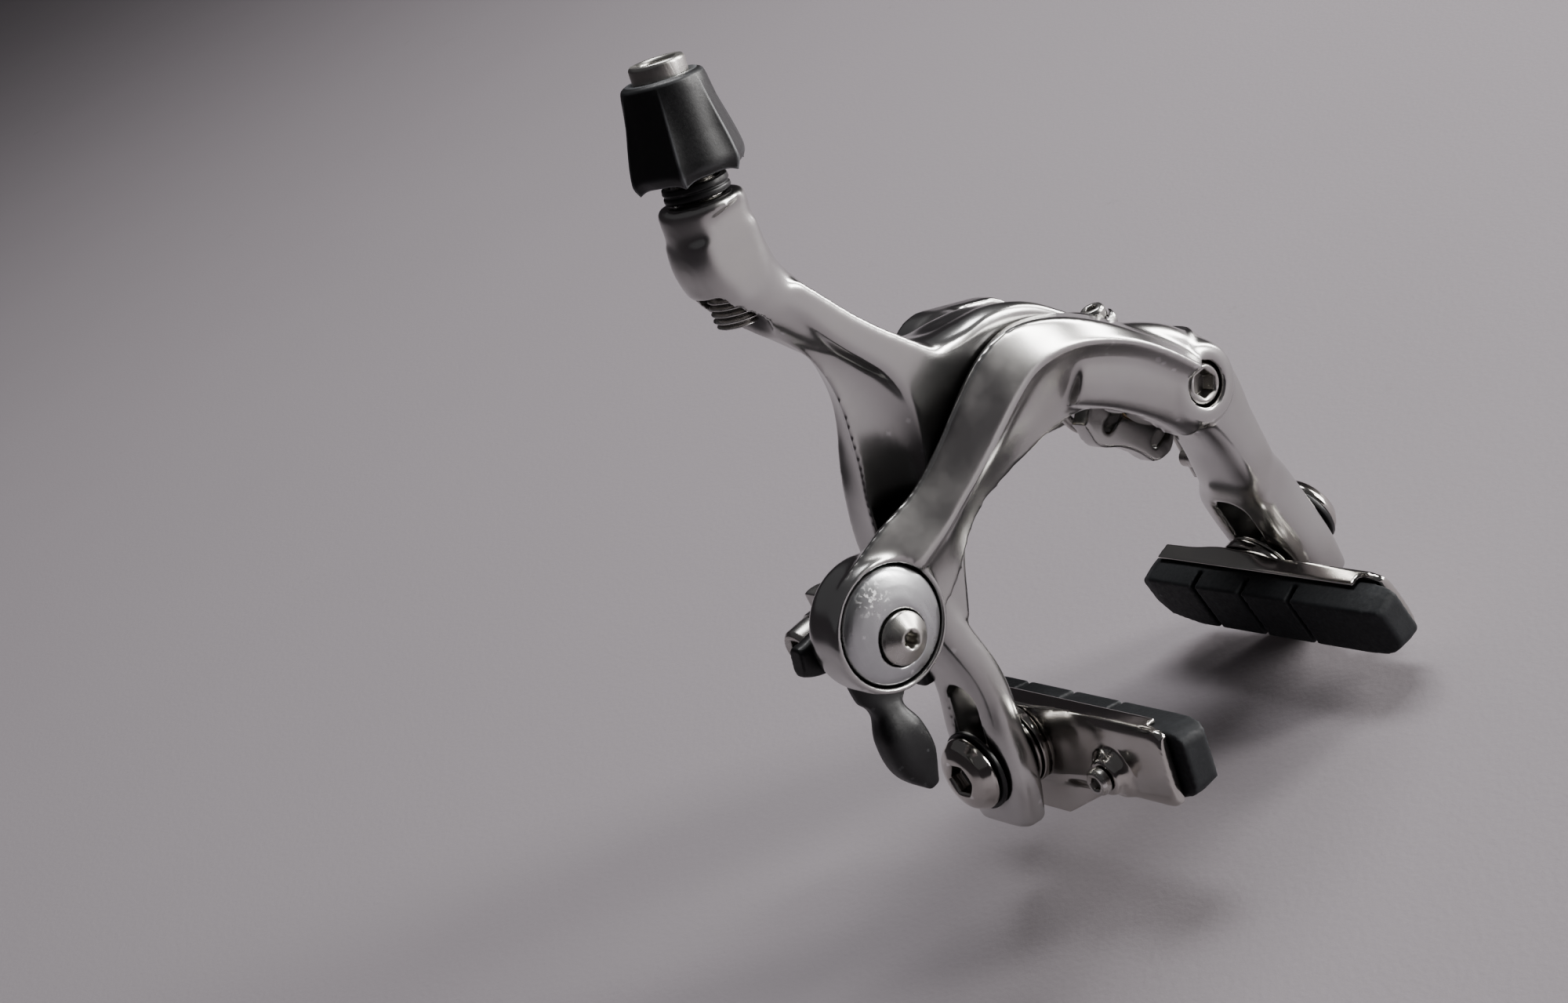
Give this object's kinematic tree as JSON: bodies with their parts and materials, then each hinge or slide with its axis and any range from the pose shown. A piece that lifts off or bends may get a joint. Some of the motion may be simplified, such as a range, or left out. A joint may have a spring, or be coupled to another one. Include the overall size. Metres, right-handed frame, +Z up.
{
  "type": "rim brake caliper",
  "caption": "Dual-pivot bicycle rim brake caliper: curved polished arms, barrel adjuster, quick-release cable clamp and cartridge brake shoes facing each other across the rim",
  "frame": {"origin": "on the mounting bolt's axis, in the plane of the crown seat, with the arms at rest fully open", "axes": "+X to the side pivot's side, +Y from the caliper towards the fork crown along the mounting bolt, +Z up"},
  "size_m": [0.1036, 0.0748, 0.1456],
  "materials": {
    "satin": "satin polished and clear anodised",
    "chrome": "bright polished",
    "steel": "turned steel, zinc plated",
    "brass": "plain bearing brass",
    "black": "moulded, slightly glossy",
    "rubber": "dark brake compound"
  },
  "bodies": {
    "bracket": {"arm_bridge": "satin", "mounting_bolt": "steel", "centre_pivot_nut": "steel", "front_thrust_washer": "brass", "rear_thrust_washer": "brass", "crown_washer": "steel", "recessed_nut": "steel", "side_pivot_bolt": "steel", "side_thrust_washer": "brass", "return_spring": "steel"},
    "c_arm_group": {"c_arm": "satin", "cover_cap": "satin", "cover_screw": "steel", "clamp_spindle": "steel", "cable_washer": "steel", "cable_anchor_bolt": "steel", "side_pivot_bush": "brass", "c_spring_block": "black"},
    "y_arm_group": {"y_arm": "satin", "centre_pivot_bush": "brass", "adjuster_seal": "black", "y_spring_block": "black"},
    "release_lever": {"quick_release_lever": "black"},
    "barrel_ferrule": {"adjuster_ferrule": "steel"},
    "barrel_knob": {"adjuster_knob": "black", "adjuster_tube": "steel"},
    "near_clamp": {"near_shoe_bolt": "chrome", "near_head_washer": "black", "near_convex_washer": "chrome"},
    "near_shoe": {"near_concave_washer": "chrome", "near_shoe_holder": "chrome", "near_brake_pad": "rubber", "near_pad_screw": "steel"},
    "far_clamp": {"far_shoe_bolt": "chrome", "far_head_washer": "black", "far_convex_washer": "chrome"},
    "far_shoe": {"far_concave_washer": "chrome", "far_shoe_holder": "chrome", "far_brake_pad": "rubber", "far_pad_screw": "steel"},
    "centring": {"centring_screw": "steel"},
    "spring_tension": {"spring_tension_screw": "steel"}
  },
  "joints": [
    {"name": "c_arm_pivot", "type": "hinge", "parent": "bracket", "child": "c_arm_group", "pos_m": [0.0281, 0, -0.0077], "axis": [0, 1, 0], "range_deg": [0, 12], "stiffness_Nm_per_rad": 0.8, "springref_deg": -45.84, "deforming": ["return_spring"]},
    {"name": "y_arm_pivot", "type": "hinge", "parent": "bracket", "child": "y_arm_group", "pos_m": [0, 0, 0], "axis": [0, 1, 0], "range_deg": [-12, 0], "stiffness_Nm_per_rad": 0.8, "springref_deg": 45.84},
    {"name": "release_lever_turn", "type": "hinge", "parent": "c_arm_group", "child": "release_lever", "pos_m": [-0.042, 0, -0.0034], "axis": [0, 1, 0], "range_deg": [0, 85]},
    {"name": "barrel_travel", "type": "slide", "parent": "y_arm_group", "child": "barrel_ferrule", "axis": [0.2113, 0, 0.9774], "range_m": [0, 0.006]},
    {"name": "barrel_turn", "type": "hinge", "parent": "barrel_ferrule", "child": "barrel_knob", "pos_m": [-0.0294, -0.0263, 0.0633], "axis": [0.2113, 0, 0.9774], "range_deg": [0, 2160]},
    {"name": "near_clamp_height", "type": "slide", "parent": "y_arm_group", "child": "near_clamp", "axis": [0.184, 0, 0.9829], "range_m": [0, 0.008]},
    {"name": "near_shoe_toe", "type": "hinge", "parent": "near_clamp", "child": "near_shoe", "pos_m": [-0.0222, -0.0252, -0.0402], "axis": [0.9829, 0, -0.184], "range_deg": [-12, 12]},
    {"name": "far_clamp_height", "type": "slide", "parent": "c_arm_group", "child": "far_clamp", "axis": [-0.184, 0, 0.9829], "range_m": [0, 0.008]},
    {"name": "far_shoe_toe", "type": "hinge", "parent": "far_clamp", "child": "far_shoe", "pos_m": [0.0293, -0.0228, -0.05], "axis": [-0.9829, 0, -0.184], "range_deg": [-12, 12]},
    {"name": "centring_screw_turn", "type": "hinge", "parent": "y_arm_group", "child": "centring", "pos_m": [0.0226, -0.0259, 0.005], "axis": [0, 0, 1], "range_deg": [-360, 360]},
    {"name": "spring_tension_turn", "type": "hinge", "parent": "c_arm_group", "child": "spring_tension", "pos_m": [0.0325, -0.022, -0.0265], "axis": [0, 1, 0], "range_deg": [-360, 360]}
  ],
  "couplings": [
    {"joint": "y_arm_pivot", "follows": "c_arm_pivot", "ratio": -1},
    {"joint": "barrel_turn", "follows": "barrel_travel", "rad_per_m": 6283.2}
  ]
}
